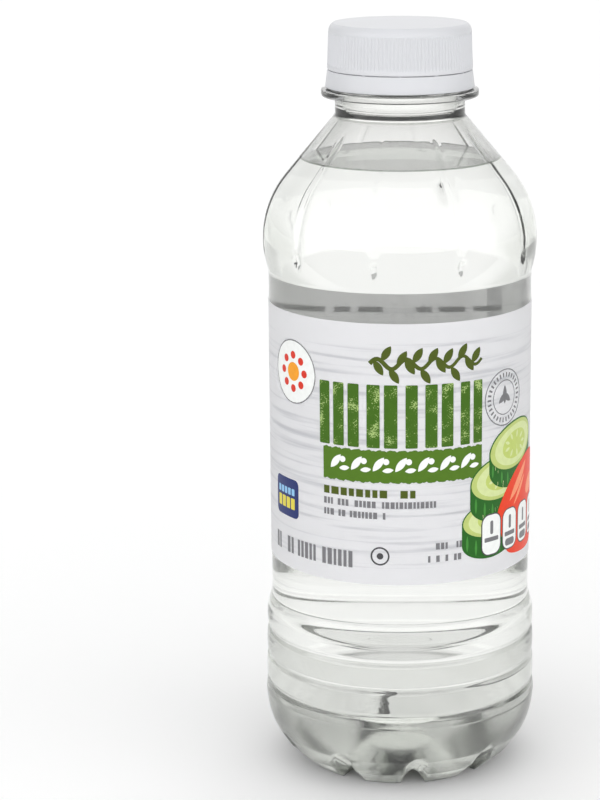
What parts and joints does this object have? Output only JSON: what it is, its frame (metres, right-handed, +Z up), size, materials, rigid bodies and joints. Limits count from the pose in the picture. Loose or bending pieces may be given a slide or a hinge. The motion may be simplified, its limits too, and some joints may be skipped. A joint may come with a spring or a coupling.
{
  "type": "vinegar bottle",
  "caption": "Clear PET bottle of colourless vinegar with a fluted shoulder, wrap-round label, ribbed waist, footed base and white screw cap.",
  "frame": {"origin": "on the bottle's axis, in the plane that its feet stand on", "axes": "+Z up along the bottle's axis, -Y out of the front of the label"},
  "size_m": [0.0678, 0.0678, 0.1851],
  "materials": {
    "pet": "clear blow-moulded PET, glossy",
    "vinegar": "clear colourless liquid",
    "label_film": "printed plastic film, satin",
    "cap_plastic": "moulded white polyethylene, satin"
  },
  "bodies": {
    "root": {"bottle": "pet", "vinegar": "vinegar", "label": "label_film", "cap": "cap_plastic", "tamper_band": "cap_plastic"}
  },
  "joints": []
}
